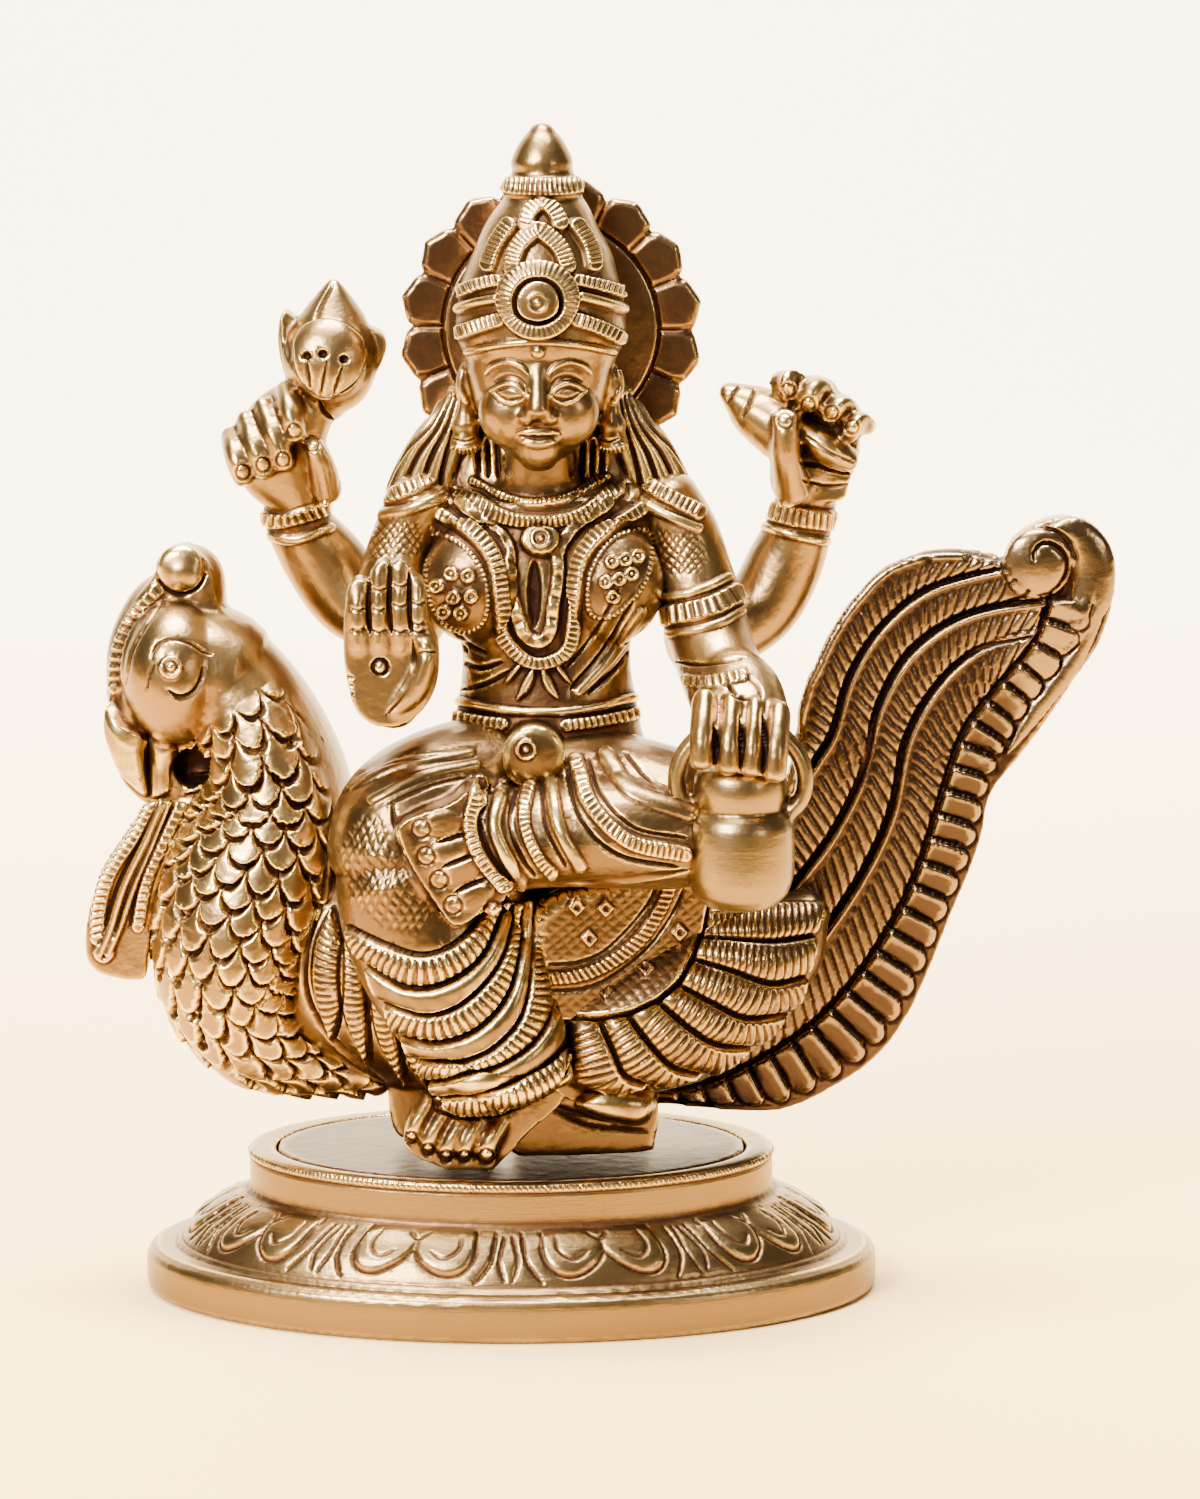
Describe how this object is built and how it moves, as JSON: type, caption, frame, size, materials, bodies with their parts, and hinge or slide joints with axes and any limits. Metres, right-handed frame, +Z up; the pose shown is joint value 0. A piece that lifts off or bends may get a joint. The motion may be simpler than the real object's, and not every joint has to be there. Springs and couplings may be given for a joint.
{
  "type": "gayatri statue",
  "caption": "Cast brass goddess with four arms, seated on a swan with a raised tail, on an oval lotus plinth.",
  "frame": {"origin": "middle of the plinth's flat underside", "axes": "+Z up, +X towards the raised tail, +Y towards the back, so that the figure faces -Y"},
  "size_m": [0.1538, 0.0666, 0.1772],
  "materials": {
    "brass": "cast brass, dark patina in the recesses, rubbed bright on the high parts",
    "plinth_brass": "satin, brushed along the mouldings",
    "dark_brass": "matt, dark patina"
  },
  "bodies": {
    "root": {"goddess_and_swan": "brass", "plinth": "plinth_brass", "foot_plate": "dark_brass"}
  },
  "joints": []
}
